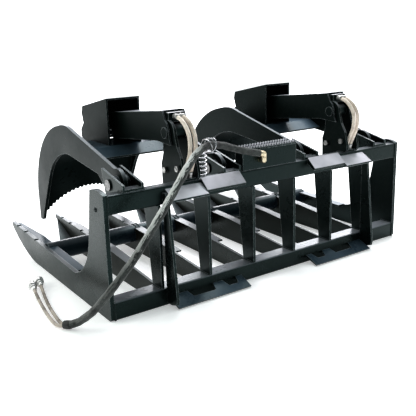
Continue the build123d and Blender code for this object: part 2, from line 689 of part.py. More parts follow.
# Cylinder barrels: base eye, neck, bored body and the foot that carries the guard's roof
EYE_WIDTH = 2 * (TOWER_HALF_WIDTH - TOWER_T - FACE_GAP)
for hand, arm in ARMS:
    x = arm + CYLINDER_OFFSET
    with BuildPart() as barrel:
        with BuildSketch(along_cylinder(x - EYE_WIDTH / 2)):
            Circle(BASE_EYE_OD / 2)
            with Locations((BARREL_BASE / 2, 0)):
                Rectangle(BARREL_BASE, BASE_EYE_OD * 0.8)
            Circle(BASE_PIN_D / 2 + PIN_GAP, mode=Mode.SUBTRACT)
        extrude(amount=EYE_WIDTH)
        with BuildSketch(on_cylinder(x, BARREL_BASE)):
            Circle(BARREL_OD / 2)
        extrude(amount=BARREL_LENGTH - BARREL_BASE)
        with BuildSketch(along_cylinder(x - MOUNT_FOOT / 2)):
            with Locations((MOUNT_FOOT_AT, (GUARD_TOP - GUARD_T) / 2)):
                Rectangle(MOUNT_FOOT, GUARD_TOP - GUARD_T)
        extrude(amount=MOUNT_FOOT)
        with BuildSketch(on_cylinder(x, BARREL_BASE + BARREL_CAP)):
            Circle(BARREL_BORE / 2)
        extrude(amount=BARREL_LENGTH, mode=Mode.SUBTRACT)
    save(barrel, f"cylinder_barrel_{hand}")

# Guards: a roof and two cheeks over the barrel, hung on the base pin
for hand, arm in ARMS:
    x = arm + CYLINDER_OFFSET
    with BuildPart() as guard:
        for start in (x - GUARD_HALF_WIDTH, x + GUARD_HALF_WIDTH - GUARD_T):
            with BuildSketch(along_cylinder(start)):
                with BuildLine():
                    Polyline((GUARD_LENGTH, -GUARD_BOTTOM), (GUARD_LENGTH, GUARD_TOP), (10, GUARD_TOP),
                             (-4, 50), (-18, 34),
                             (-26, 8), (-27, -30), (-34, -52), (72, -GUARD_BOTTOM - 2), close=True)
                make_face()
                Circle(BASE_PIN_D / 2 + PIN_GAP, mode=Mode.SUBTRACT)
            extrude(amount=GUARD_T)
        with BuildSketch(along_cylinder(x - GUARD_HALF_WIDTH)):
            with Locations(((GUARD_LENGTH + ROOF_START) / 2, GUARD_TOP - GUARD_T / 2)):
                Rectangle(GUARD_LENGTH - ROOF_START, GUARD_T)
        extrude(amount=2 * GUARD_HALF_WIDTH)
    save(guard, f"cylinder_guard_{hand}")

# Rods with their front eye
for hand, arm in ARMS:
    x = arm + CYLINDER_OFFSET
    with BuildPart() as rod:
        with BuildSketch(on_cylinder(x, CYLINDER_REACH - ROD_TAIL)):
            Circle(ROD_D / 2)
        extrude(amount=ROD_TAIL)
        with BuildSketch(along_cylinder(x - ROD_EYE_WIDTH / 2)):
            with Locations((CYLINDER_REACH, 0)):
                Circle(ROD_EYE_OD / 2)
        extrude(amount=ROD_EYE_WIDTH)
        with BuildSketch(along_cylinder(x - ROD_EYE_WIDTH / 2)):
            with Locations((CYLINDER_REACH, 0)):
                Circle(ROD_PIN_D / 2 + PIN_GAP)
        extrude(amount=ROD_EYE_WIDTH, mode=Mode.SUBTRACT)
    save(rod, f"cylinder_rod_{hand}")

# Rod pins in the lugs of the skin
lug_outer = ROD_EYE_WIDTH / 2 + FACE_GAP + LUG_T + FACE_GAP
for hand, arm in ARMS:
    x = arm + CYLINDER_OFFSET
    with BuildPart() as rod_pin:
        with BuildSketch(side(x - lug_outer)):
            with Locations((ROD_EYE_Y, ROD_EYE_Z)):
                Circle(ROD_PIN_D / 2)
        extrude(amount=2 * lug_outer)
        for start, into in ((x - lug_outer, -1), (x + lug_outer, 1)):
            with BuildSketch(side(start)):
                with Locations((ROD_EYE_Y, ROD_EYE_Z)):
                    Circle(ROD_PIN_HEAD_D / 2)
            extrude(amount=into * ROD_PIN_HEAD_T)
    save(rod_pin, f"rod_pin_{hand}")


def place(point):
    """Point written as across, forward from the tubes' rear face and up."""
    return Vector(point[0], point[1] - MID_Y, point[2])


def hose(points, diameter, name):
    """Round hose along straight runs joined by arcs as large as the runs allow."""
    spots = [place(point) for point in points]
    runs = [after - before for before, after in zip(spots, spots[1:])]
    radii = []
    for before, after in zip(runs, runs[1:]):
        half_turn = radians(before.get_angle(after)) / 2
        radii.append(0.45 * min(before.length, after.length) / tan(half_turn))
    with BuildPart() as tube:
        with BuildLine() as route:
            FilletPolyline(*spots, radius=radii)
        with BuildSketch(Plane(origin=spots[0], z_dir=runs[0])):
            Circle(diameter / 2)
        sweep(path=route.line)
    length = sum(edge.length for edge in route.edges())
    expected = pi * diameter**2 / 4 * length
    print(name, "length", round(length), "smallest radius", round(min(radii)),
          "radii", [round(r) for r in radii], "volume share", round(tube.part.volume / expected, 4))
    save(tube, name)


# Main hose bundle from the step to the ground beside the frame
BUNDLE_ROUTE = (
    (-108, -24, 580), (-215, -26, 606), (-325, -28, 648), (-440, -72, 655), (-540, -112, 585),
    (-623, -132, 492.5), (-710, -146, 400), (-794, -155, 306), (-859, -156, 242),
    (-909, -128, 171.5), (-936, -62, 96.5), (-959, 8, 40), (-984, 39, 21), (-1002, 66, 16.5),
)
hose(BUNDLE_ROUTE, BUNDLE_D, "hose_bundle")

# Two hoses out of the bundle's sleeve, lying on the ground, each to its quick coupler
OUTER_TAIL = (
    (-1008, 61.5, 16.5), (-1020.5, 78.5, 10.5), (-1023, 123.5, 7.5), (-1016.5, 203.5, 7.5),
    (-1004, 298.5, 7.8), (-991.5, 383.5, 12), (-979, 460.5, 21.5),
)
INNER_TAIL = (
    (-996, 70.5, 16.5), (-1002, 83.5, 10.5), (-1001, 128.5, 7.5), (-992.5, 203.5, 7.5),
    (-978, 303.5, 7.8), (-959, 398.5, 12), (-940, 487.5, 21.5),
)
hose(OUTER_TAIL, TAIL_D, "tail_hose_outer")
hose(INNER_TAIL, TAIL_D, "tail_hose_inner")

# Quick couplers on the ground at the ends of the two hoses
with BuildPart() as quick_couplers:
    for route in (OUTER_TAIL, INNER_TAIL):
        end = place(route[-1])
        run = end - place(route[-2])
        heading = Vector(run.X, run.Y, 0).normalized()
        start = 0
        for length, across in COUPLER_STEPS:
            with BuildSketch(Plane(origin=end + heading * start, z_dir=heading)):
                Circle(across / 2)
            extrude(amount=length)
            start += length
save(quick_couplers, "quick_couplers")

# Two sleeved hoses behind each cylinder, from the block on the tower down to its foot
CYLINDER_ROUTE = ((80, 764), (46, 764), (0, 738), (-31, 692), (-31, 636), (-10, 588), (10, 552),
                  (20, 516))
for hand, arm in ARMS:
    for part_of, to in (("outer", -1), ("inner", 1)):
        x = arm + CYLINDER_OFFSET + to * CYLINDER_HOSE_OFFSET
        hose([(x, y, z) for y, z in CYLINDER_ROUTE], CYLINDER_HOSE_D, f"cylinder_hose_{hand}_{part_of}")

# Elbow on the rear of the step box, where the bundle begins
with BuildPart() as hose_elbow:
    elbow = place(BUNDLE_ROUTE[0])
    run = (place(BUNDLE_ROUTE[1]) - elbow).normalized()
    back = elbow - run * ELBOW_LENGTH
    with BuildSketch(Plane(origin=elbow, z_dir=-run)):
        Circle(FITTING_D / 2)
    extrude(amount=ELBOW_LENGTH)
    with BuildSketch(level(back.Z - ELBOW_DROP)):
        with Locations((back.X, back.Y + MID_Y)):
            Circle(FITTING_D / 2)
    extrude(amount=ELBOW_DROP)
    with BuildSketch(Plane(origin=(back.X, back.Y, back.Z - ELBOW_DROP), z_dir=(0, 1, 0))):
        Circle(FITTING_D / 2)
    extrude(amount=-MID_Y - back.Y)
    with Locations((back.X, back.Y, back.Z), (back.X, back.Y, back.Z - ELBOW_DROP)):
        Sphere(FITTING_D / 2)
save(hose_elbow, "hose_elbow")

# Coil spring on the top tube whose upper end is a wire loop round the bundle
with BuildPart() as hose_guide:
    coil_radius = (SPRING_OD - WIRE_D) / 2
    with BuildLine(Plane(origin=place((SPRING_X, SPRING_Y, TOP_Z + WIRE_D / 2)))) as coil:
        Helix(pitch=(SPRING_HEIGHT - WIRE_D) / SPRING_TURNS, height=SPRING_HEIGHT - WIRE_D,
              radius=coil_radius)
    with BuildSketch(Plane(origin=coil.line @ 0, z_dir=coil.line % 0)):
        Circle(WIRE_D / 2)
    sweep(path=coil.line, is_frenet=True)
    before, after = place(BUNDLE_ROUTE[2]), place(BUNDLE_ROUTE[3])
    ring = Plane(origin=(before + after) / 2, x_dir=(0, 0, 1), z_dir=after - before)
    with Locations(ring):
        Torus(LOOP_RADIUS, WIRE_D / 2)
    stem = ring.origin - ring.x_dir * LOOP_RADIUS - coil.line @ 1
    with BuildSketch(Plane(origin=coil.line @ 1, z_dir=stem)):
        Circle(WIRE_D / 2)
    extrude(amount=stem.length)
save(hose_guide, "hose_guide_spring")
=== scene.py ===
import math

import bmesh
import bpy
from mathutils import Matrix, Vector, noise as mathutils_noise


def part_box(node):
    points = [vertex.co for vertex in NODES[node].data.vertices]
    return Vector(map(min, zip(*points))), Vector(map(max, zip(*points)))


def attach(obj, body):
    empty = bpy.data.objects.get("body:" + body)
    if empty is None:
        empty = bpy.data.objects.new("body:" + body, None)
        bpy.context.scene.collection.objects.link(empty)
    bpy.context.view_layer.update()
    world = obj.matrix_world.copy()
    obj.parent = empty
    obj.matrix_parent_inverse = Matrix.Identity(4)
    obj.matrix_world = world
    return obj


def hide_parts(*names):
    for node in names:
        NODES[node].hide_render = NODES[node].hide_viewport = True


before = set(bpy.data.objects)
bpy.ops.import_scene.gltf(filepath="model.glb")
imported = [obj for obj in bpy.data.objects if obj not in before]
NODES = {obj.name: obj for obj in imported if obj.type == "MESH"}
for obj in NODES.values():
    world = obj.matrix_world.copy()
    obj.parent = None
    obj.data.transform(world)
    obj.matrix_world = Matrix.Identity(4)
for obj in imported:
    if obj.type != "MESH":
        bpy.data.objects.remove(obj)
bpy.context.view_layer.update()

HANDS = ("left", "right")

# Camera, fitted to the photograph at 416 x 416
IMAGE_SIDE = 416
SENSOR = 36.0
FOCAL_PIXELS = 624.65
PRINCIPAL_POINT = (217.18, 184.55)
CAMERA_PLACE = (-1.77926, -2.62237, 1.09316)
CAMERA_AZIMUTH, CAMERA_ELEVATION, CAMERA_ROLL = (math.radians(a) for a in (-35.14, 13.77, -1.47))

# Hoses: diameters, and the points of the routes in the part's source, in metres
BUNDLE_D, TAIL_D, CYLINDER_HOSE_D = 0.032, 0.014, 0.018
BUNDLE_ROUTE = (
    (-0.108, -0.5675, 0.580), (-0.215, -0.5695, 0.606), (-0.325, -0.5715, 0.648), (-0.440, -0.6155, 0.655),
    (-0.540, -0.6555, 0.585), (-0.623, -0.6755, 0.4925), (-0.710, -0.6895, 0.400), (-0.794, -0.6985, 0.306),
    (-0.859, -0.6995, 0.242), (-0.909, -0.6715, 0.1715), (-0.936, -0.6055, 0.0965), (-0.959, -0.5355, 0.040),
    (-0.984, -0.5045, 0.021), (-1.002, -0.4775, 0.0165),
)
TAIL_ROUTES = {
    "outer": (
        (-1.008, -0.482, 0.0165), (-1.0205, -0.465, 0.0105), (-1.023, -0.420, 0.0075),
        (-1.0165, -0.340, 0.0075), (-1.004, -0.245, 0.0078), (-0.9915, -0.160, 0.012),
        (-0.979, -0.083, 0.0215),
    ),
    "inner": (
        (-0.996, -0.473, 0.0165), (-1.002, -0.460, 0.0105), (-1.001, -0.415, 0.0075),
        (-0.9925, -0.340, 0.0075), (-0.978, -0.240, 0.0078), (-0.959, -0.145, 0.012),
        (-0.940, -0.056, 0.0215),
    ),
}
CYLINDER_ROUTE = (
    (-0.4635, 0.764), (-0.4975, 0.764), (-0.5435, 0.738), (-0.5745, 0.692),
    (-0.5745, 0.636), (-0.5535, 0.588), (-0.5335, 0.552), (-0.5235, 0.516),
)
CYLINDER_CENTRE = {"left": -0.450, "right": 0.485}
CYLINDER_HOSE_OFFSET = {"outer": -0.013, "inner": 0.013}

# Creases of a sleeve: share of the radius, and how fast they change along the hose and round it
BUNDLE_CREASES, CYLINDER_CREASES = 0.18, 0.13
BUNDLE_SEED, CYLINDER_SEED_PER_METRE = 3.0, 11
LONG_FOLD, CROSS_FOLD = (9, 1.2), (55, 0.7)
FADE_RINGS = 4

# Small parts of the hoses: (distance along, radius) pairs
CUFF_PROFILE = ((0, 0.0163), (0.004, 0.0170), (0.020, 0.0170), (0.028, 0.0158), (0.030, 0.0154))
COUPLER_PROFILE = (
    (0.000, 0.0085), (0.004, 0.0115), (0.022, 0.0115), (0.024, 0.0150), (0.034, 0.0150), (0.036, 0.0145),
    (0.040, 0.0145), (0.042, 0.0195), (0.050, 0.0200), (0.070, 0.0200), (0.074, 0.0185), (0.076, 0.0160),
    (0.084, 0.0160), (0.086, 0.0135), (0.092, 0.0120),
)
COUPLER_GRIP = 0.006
FERRULE_PROFILE = (
    (0.0, 0.0105), (0.003, 0.0120), (0.006, 0.0120), (0.008, 0.0110), (0.014, 0.0110),
    (0.016, 0.0118), (0.026, 0.0118), (0.029, 0.0100),
)

# Wire rings round the bundle above the spring: slide along it, lean and radius of each
RING_WIRE = 0.0016
WIRE_RINGS = (
    (-0.012, (0.0, 0.25, 0.25), 0.0285),
    (0.010, (0.1, -0.30, 0.15), 0.0300),
    (0.020, (0.0, 0.20, -0.35), 0.0290),
)

# Weld beads: radius and sides of one, how far it stops short of a tube's edges, its place on a tine's root,
# half of what the rings round the pipe stand apart, and the runs in such a ring
BEAD, BEAD_SIDES = 0.0045, 8
CORNER_INSET, END_INSET = 0.008, 0.004
TINE_BEAD_OUT, TINE_BEAD_RISE, TINE_BEAD_DROP = 0.007, 0.012, 0.010
TINE_HALF_THICK = 0.009
RING_SIDES = 40

# Bolt through each side plate, plates that close the pipe's ends, and the teeth of the step's tread
SIDE_BOLT_PLACE, SIDE_BOLT_WIDTH, SIDE_BOLT_HEIGHT = (0.838, -0.468, 0.4406), 0.019, 0.005
CAP_RADIUS, CAP_THICK, CAP_CHAMFER, CAP_INSET = 0.0405, 0.004, 0.001, 0.0045
TOOTH_PITCH, TOOTH_HEIGHT, TOOTH_WIDTH, TOOTH_INSET = 0.0150, 0.011, 0.012, 0.001

# Light: name, place, target, size, watts and colour of each lamp
LAMPS = (
    ("key_left", (-4.2, 1.6, 2.6), (0, 0, 0.3), (2.6, 2.2), 60, (1.0, 1.0, 0.90)),
    ("front_sheet", (4.2, 6.0, 2.4), (0, 0, 0.4), (7.0, 3.0), 360, (0.97, 0.95, 1.0)),
    ("top_soft", (1.8, 1.2, 3.8), (0, 0, 0.3), (3.0, 3.0), 200, (0.98, 0.97, 1.0)),
)
FLOOR_REACH, FLOOR_DROP = 30, 0.0008

# The side from which the world lights less, and how much it still lights from there
DIM_SIDE, DIM_STRENGTH = (-0.57, -0.80, 0.10), 0.12

# Colours, linear
WORLD_WHITE = (1.0, 0.995, 1.0, 1.0)
PAINT_SPECULAR = 0.22
PAINT_SHEEN = (0.66, 1.0, 0.98, 1.0)
# Direction that the bundle's painted lit side faces
BUNDLE_LIT_DIRECTION = (-0.45, 0.35, 0.82)
WORLD_DIM = (0.80, 1.0, 0.98, 1.0)
FLOOR_COLOUR = (0.93, 0.93, 0.935, 1.0)
FLOOR_GLOW = 0.36
PAINT = (0.0030, 0.0058, 0.0054, 1.0)
# Pale colour on faces that look up: partly a dusting, partly painted top light
PAINT_DUST_AND_TOP_LIGHT = (0.29, 0.305, 0.335, 1.0)
# Pale colour along edges: partly rubbed bare metal, partly painted edge highlight
PAINT_RUB_AND_EDGE_LIGHT = (0.34, 0.37, 0.38, 1.0)
# Bluish pale colour on the tops of the arm skins, edge strips and lower lips: partly a dusting, partly
# painted top light
SKIN_DUST_AND_TOP_LIGHT = (0.10, 0.145, 0.19, 1.0)
PIPE_PAINT = (0.012, 0.020, 0.028, 1.0)
# Lilac-white colour on the tops of the lips and the tread's teeth: partly a dusting, partly painted top light
LIP_DUST_AND_TOP_LIGHT = (0.80, 0.77, 0.84, 1.0)
TINE_PAINT = (0.0095, 0.0085, 0.0062, 1.0)
ZINC, SPRING_WIRE = (0.42, 0.42, 0.41, 1.0), (0.50, 0.51, 0.53, 1.0)
COUPLER_ZINC, PIN_STEEL = (0.90, 0.89, 0.88, 1.0), (0.20, 0.20, 0.20, 1.0)
BRASS, CHROME = (0.66, 0.58, 0.42, 1.0), (0.78, 0.79, 0.80, 1.0)
# The sleeves' dark colours make blotches of dirt, and streaks that are painted shade of wrinkles
SLEEVE_TAN, SLEEVE_SOIL_AND_SHADE = (1.0, 0.90, 0.80, 1.0), (0.20, 0.13, 0.08, 1.0)
BUNDLE_CLOTH, BUNDLE_SOIL_AND_SHADE = (0.055, 0.062, 0.058, 1.0), (0.004, 0.005, 0.005, 1.0)
# Colour of the bundle's painted lit side
BUNDLE_LIT_SIDE = (0.66, 0.67, 0.65, 1.0)
TAIL_RUBBER, CUFF_RUBBER = (0.47, 0.41, 0.36, 1.0), (0.02, 0.02, 0.022, 1.0)


def camera_axes(azimuth, elevation, roll):
    back = Vector((math.sin(azimuth) * math.cos(elevation), -math.cos(azimuth) * math.cos(elevation),
                   math.sin(elevation)))
    level = Vector((0, 0, 1)).cross(back).normalized()
    rise = back.cross(level)
    right = level * math.cos(roll) + rise * math.sin(roll)
    up = rise * math.cos(roll) - level * math.sin(roll)
    return Matrix((right, up, back)).transposed()


def make_camera():
    data = bpy.data.cameras.new("camera")
    data.sensor_width = SENSOR
    data.lens = FOCAL_PIXELS * SENSOR / IMAGE_SIDE
    data.shift_x = 0.5 - PRINCIPAL_POINT[0] / IMAGE_SIDE
    data.shift_y = PRINCIPAL_POINT[1] / IMAGE_SIDE - 0.5
    camera = bpy.data.objects.new("camera", data)
    turn = camera_axes(CAMERA_AZIMUTH, CAMERA_ELEVATION, CAMERA_ROLL).to_4x4()
    camera.matrix_world = Matrix.Translation(CAMERA_PLACE) @ turn
    bpy.context.scene.collection.objects.link(camera)
    bpy.context.scene.camera = camera


def link_mesh(name, mesh, smooth=True):
    piece = bpy.data.objects.new(name, mesh)
    bpy.context.scene.collection.objects.link(piece)
    if smooth:
        for face in mesh.polygons:
            face.use_smooth = True
    return piece


def route_curve(name, points, diameter):
    data = bpy.data.curves.new(name, "CURVE")
    data.dimensions = "3D"
    data.resolution_u = 12
    data.bevel_depth = diameter / 2
    data.bevel_resolution = 6
    data.use_fill_caps = True
    spline = data.splines.new("NURBS")
    spline.points.add(len(points) - 1)
    for control, point in zip(spline.points, points):
        control.co = (*point, 1.0)
    spline.order_u = 3
    spline.use_endpoint_u = True
    piece = bpy.data.objects.new(name, data)
    bpy.context.scene.collection.objects.link(piece)
    return piece


def centreline(curve):
    """The points of the route's own smooth line, read from the curve while it has no bevel."""
    depth, curve.data.bevel_depth = curve.data.bevel_depth, 0.0
    bpy.context.view_layer.update()
    mesh = bpy.data.meshes.new_from_object(curve.evaluated_get(bpy.context.evaluated_depsgraph_get()))
    points = [vertex.co.copy() for vertex in mesh.vertices]
    bpy.data.meshes.remove(mesh)
    curve.data.bevel_depth = depth
    return points


def fine_points(points, step):
    """The same line with points no further apart than step."""
    fine = [points[0]]
    for one, two in zip(points, points[1:]):
        count = max(1, math.ceil((two - one).length / step))
        fine += [one.lerp(two, i / count) for i in range(1, count + 1)]
    return fine


def fold_depth(run, angle, seed):
    """How deep a sleeve is creased at one place, from long folds and short ones across."""
    along, cross = (Vector((run * rate + seed, math.cos(angle) * spread, math.sin(angle) * spread))
                    for rate, spread in (LONG_FOLD, CROSS_FOLD))
    fold = 0.5 * mathutils_noise.noise(along * 1.5) + 0.5 * mathutils_noise.noise(cross)
    return max(0.0, min(1.0, 0.35 + 1.1 * fold))


def sleeve_tube(name, route, diameter, creases, seed, sides=32, step=0.004):
    """A sleeve over a hose: a tube along the route, and creases is their depth as a share of the radius."""
    curve = route_curve(name + "_line", route, diameter)
    line = centreline(curve)
    bpy.data.objects.remove(curve)
    points = fine_points(line, step)
    mesh, rings, run = bmesh.new(), [], 0.0
    uv = mesh.loops.layers.uv.new("UVMap")
    lift = (points[1] - points[0]).orthogonal().normalized()
    reach = []
    for i, point in enumerate(points):
        ahead = (points[min(i + 1, len(points) - 1)] - points[max(i - 1, 0)]).normalized()
        lift = (lift - ahead * lift.dot(ahead)).normalized()
        across = ahead.cross(lift)
        run += (point - points[i - 1]).length if i else 0.0
        reach.append(run)
        fade = min(1.0, i / FADE_RINGS, (len(points) - 1 - i) / FADE_RINGS)
        ring = []
        for k in range(sides):
            angle = 2 * math.pi * k / sides
            out = lift * math.cos(angle) + across * math.sin(angle)
            radius = diameter / 2 * (1 - creases * fade * fold_depth(run, angle, seed))
            ring.append(mesh.verts.new(point + out * radius))
        rings.append(ring)
    for i, (one, two) in enumerate(zip(rings, rings[1:])):
        for k in range(sides):
            corners = ((one, k, i), (one, k + 1, i), (two, k + 1, i + 1), (two, k, i + 1))
            face = mesh.faces.new([ring[j % sides] for ring, j, _ in corners])
            for loop, (_, j, at) in zip(face.loops, corners):
                loop[uv].uv = (reach[at] / run, j / sides)
    mesh.faces.new(rings[0][::-1])
    mesh.faces.new(rings[-1])
    return close_mesh(name, mesh, smooth=True), [tuple(point) for point in line]


# Small tools for the node materials
def new_material(name, colour, roughness, metallic=0.0):
    material = bpy.data.materials.new(name)
    material.use_nodes = True
    tree = material.node_tree
    shader = tree.nodes["Principled BSDF"]
    shader.inputs["Base Color"].default_value = colour
    shader.inputs["Roughness"].default_value = roughness
    shader.inputs["Metallic"].default_value = metallic
    return material, tree, shader


def add(tree, kind, **values):
    node = tree.nodes.new(kind)
    for key, value in values.items():
        if hasattr(node, key):
            setattr(node, key, value)
        else:
            node.inputs[key.replace("_", " ")].default_value = value
    return node


def texture_place(tree, output="Object", scale=(1, 1, 1)):
    place = add(tree, "ShaderNodeTexCoord")
    mapping = add(tree, "ShaderNodeMapping", Scale=scale)
    tree.links.new(place.outputs[output], mapping.inputs["Vector"])
    return mapping.outputs["Vector"]


def noise(tree, where, scale, detail=4.0, rough=0.55):
    node = add(tree, "ShaderNodeTexNoise", Scale=scale, Detail=detail, Roughness=rough)
    tree.links.new(where, node.inputs["Vector"])
    return node.outputs["Fac"]


def ramp(tree, source, low, high, start=0.0, end=1.0):
    node = add(tree, "ShaderNodeMapRange")
    for key, value in (("From Min", low), ("From Max", high), ("To Min", start), ("To Max", end)):
        node.inputs[key].default_value = value
    tree.links.new(source, node.inputs["Value"])
    return node.outputs["Result"]


def combine(tree, operation, one, two):
    node = add(tree, "ShaderNodeMath", operation=operation)
    for socket, value in zip(node.inputs, (one, two)):
        if isinstance(value, (int, float)):
            socket.default_value = value
        else:
            tree.links.new(value, socket)
    return node.outputs["Value"]


def mix_colour(tree, amount, one, two):
    node = add(tree, "ShaderNodeMix", data_type="RGBA")
    tree.links.new(amount, node.inputs["Factor"])
    for socket, value in ((node.inputs[6], one), (node.inputs[7], two)):
        if isinstance(value, tuple):
            socket.default_value = value
        else:
            tree.links.new(value, socket)
    return node.outputs[2]


def add_bump(tree, shader, height, strength, distance, normal=None):
    node = add(tree, "ShaderNodeBump", Strength=strength, Distance=distance)
    tree.links.new(height, node.inputs["Height"])
    if normal is not None:
        tree.links.new(normal, node.inputs["Normal"])
    tree.links.new(node.outputs["Normal"], shader.inputs["Normal"])


def edge_mask(tree, radius):
    soft = add(tree, "ShaderNodeBevel", samples=6, Radius=radius)
    sharp = add(tree, "ShaderNodeNewGeometry")
    dot = add(tree, "ShaderNodeVectorMath", operation="DOT_PRODUCT")
    tree.links.new(soft.outputs["Normal"], dot.inputs[0])
    tree.links.new(sharp.outputs["Normal"], dot.inputs[1])
    return ramp(tree, dot.outputs["Value"], 0.995, 0.90), soft.outputs["Normal"]


def painted_steel(name, colour=PAINT, roughness=0.27, top_light_and_dust=0.55, rub_and_edge_light=0.85, powder_and_top_light=PAINT_DUST_AND_TOP_LIGHT,
                  facing_up=(0.45, 0.95), specular=PAINT_SPECULAR):
    """Dark paint, paler on the faces that look up and along the edges: partly a dusting and rubbed bare
    metal, partly painted light that stands for highlights on tops and edges.
    """
    material, tree, shader = new_material(name, colour, roughness)
    shader.inputs["Specular IOR Level"].default_value = specular
    shader.inputs["Specular Tint"].default_value = PAINT_SHEEN
    where = texture_place(tree)
    broad, fine = noise(tree, where, 3.5), noise(tree, where, 55.0, 6.0)
    edges, rounded = edge_mask(tree, 0.0035)
    geometry = add(tree, "ShaderNodeNewGeometry")
    parts = add(tree, "ShaderNodeSeparateXYZ")
    tree.links.new(geometry.outputs["Normal"], parts.inputs["Vector"])
    # Faces that look up turn paler: partly a dusting, partly painted light where the tops catch it
    upward = ramp(tree, parts.outputs["Z"], *facing_up)
    dusty_and_top_lit = combine(tree, "MULTIPLY", upward, ramp(tree, broad, 0.35, 0.7, top_light_and_dust * 0.5, top_light_and_dust))
    film = ramp(tree, fine, 0.45, 0.75, 0.0, 0.012)
    dusted_and_top_lit = mix_colour(tree, combine(tree, "MAXIMUM", dusty_and_top_lit, film), colour, powder_and_top_light)
    # Edges turn paler: partly rubbed bare metal, partly painted highlight along them
    worn_and_edge_lit = combine(tree, "MULTIPLY", edges, ramp(tree, fine, 0.38, 0.62, rub_and_edge_light * 0.4, rub_and_edge_light))
    tree.links.new(mix_colour(tree, worn_and_edge_lit, dusted_and_top_lit, PAINT_RUB_AND_EDGE_LIGHT), shader.inputs["Base Color"])
    spread = combine(tree, "ADD", ramp(tree, broad, 0.3, 0.7, roughness - 0.07, roughness + 0.10),
                     ramp(tree, fine, 0.3, 0.7, -0.02, 0.05))
    tree.links.new(spread, shader.inputs["Roughness"])
    waves, grains = combine(tree, "MULTIPLY", broad, 0.6), combine(tree, "MULTIPLY", fine, 0.12)
    add_bump(tree, shader, combine(tree, "ADD", waves, grains), 0.2, 0.003, rounded)
    return material


def plated_steel(name, colour=ZINC, roughness=0.34, metallic=1.0):
    """Plated or bare metal with a little dark grime."""
    material, tree, shader = new_material(name, colour, roughness, metallic)
    where = texture_place(tree)
    grime = noise(tree, where, 90.0, 5.0)
    dark = tuple(0.35 * value for value in colour[:3]) + (1.0,)
    edges, rounded = edge_mask(tree, 0.0012)
    tree.links.new(mix_colour(tree, ramp(tree, grime, 0.50, 0.66), colour, dark), shader.inputs["Base Color"])
    spread = ramp(tree, grime, 0.3, 0.7, roughness - 0.08, roughness + 0.18)
    tree.links.new(spread, shader.inputs["Roughness"])
    add_bump(tree, shader, grime, 0.3, 0.0008, rounded)
    return material


def chrome_steel():
    """Polished rod with fine lines along it."""
    material, tree, shader = new_material("chrome_rod", CHROME, 0.09, 1.0)
    lines = noise(tree, texture_place(tree, scale=(160.0, 4.0, 160.0)), 4.0, 3.0)
    tree.links.new(ramp(tree, lines, 0.3, 0.7, 0.06, 0.16), shader.inputs["Roughness"])
    add_bump(tree, shader, lines, 0.12, 0.0003)
    return material


def woven(name, light, dark, threads, painted_lit_side=None, soil_and_streak_shade=0.5, roughness=0.85):
    """Woven sleeve with blotches of dirt, dark streaks along it that are painted shade of its wrinkles, and,
    if asked for, a pale band of painted light on the side that faces up and to the left.
    """
    material, tree, shader = new_material(name, light, roughness)
    around = texture_place(tree, "UV", (threads[0], threads[1], 1.0))
    parts = add(tree, "ShaderNodeSeparateXYZ")
    tree.links.new(around, parts.inputs["Vector"])
    turn = 2 * math.pi
    threads_both = []
    for slant in ("ADD", "SUBTRACT"):
        across = combine(tree, slant, parts.outputs["X"], parts.outputs["Y"])
        threads_both.append(combine(tree, "SINE", combine(tree, "MULTIPLY", across, turn), 0.0))
    weave = combine(tree, "MAXIMUM", *threads_both)
    where = texture_place(tree)
    broad, fine = noise(tree, where, 14.0, 5.0, 0.65), noise(tree, where, 120.0, 4.0)
    soiled = combine(tree, "MULTIPLY", ramp(tree, broad, 0.42, 0.60), soil_and_streak_shade)
    # Dark streaks along the sleeve: painted shade of its wrinkles
    streaks = noise(tree, texture_place(tree, "UV", (threads[0] * 0.09, 5.0, 1.0)), 3.0, 5.0, 0.7)
    streak_shade = ramp(tree, streaks, 0.44, 0.62, 0.0, soil_and_streak_shade)
    gaps = ramp(tree, weave, 0.1, -0.6, 0.0, 0.4)
    marks = combine(tree, "MAXIMUM", combine(tree, "MAXIMUM", soiled, streak_shade), gaps)
    base = mix_colour(tree, marks, light, dark)
    # The side of the sleeve that faces up and to the left is paler over the middle of its length: painted
    # light
    if painted_lit_side is not None:
        plain = add(tree, "ShaderNodeSeparateXYZ")
        tree.links.new(texture_place(tree, "UV"), plain.inputs["Vector"])
        geometry = add(tree, "ShaderNodeNewGeometry")
        side = add(tree, "ShaderNodeVectorMath", operation="DOT_PRODUCT")
        side.inputs[1].default_value = BUNDLE_LIT_DIRECTION
        tree.links.new(geometry.outputs["Normal"], side.inputs[0])
        wavy = combine(tree, "ADD", side.outputs["Value"], ramp(tree, streaks, 0.38, 0.62, -0.62, 0.50))
        reach = combine(tree, "MULTIPLY", ramp(tree, plain.outputs["X"], 0.24, 0.32),
                        ramp(tree, plain.outputs["X"], 0.52, 0.72, 1.0, 0.12))
        faded = combine(tree, "MULTIPLY", ramp(tree, wavy, 0.15, 0.45), reach)
        base = mix_colour(tree, combine(tree, "MULTIPLY", faded, 0.9), base, painted_lit_side)
    tree.links.new(base, shader.inputs["Base Color"])
    shader.inputs["Sheen Weight"].default_value = 0.15
    add_bump(tree, shader, combine(tree, "ADD", combine(tree, "MULTIPLY", weave, 0.5),
             combine(tree, "MULTIPLY", fine, 0.8)), 0.6, 0.0012)
    return material


def rubber(name, colour, roughness=0.6):
    """Hose rubber with broad dirt."""
    material, tree, shader = new_material(name, colour, roughness)
    fine = noise(tree, texture_place(tree), 160.0, 4.0)
    broad = noise(tree, texture_place(tree), 18.0, 4.0)
    dirt = tuple(0.45 * value for value in colour[:3]) + (1.0,)
    tree.links.new(mix_colour(tree, ramp(tree, broad, 0.45, 0.62), colour, dirt), shader.inputs["Base Color"])
    add_bump(tree, shader, fine, 0.3, 0.0008)
    return material


def finish_with(piece, material):
    """Gives a piece its material."""
    piece.data.materials.clear()
    piece.data.materials.append(material)


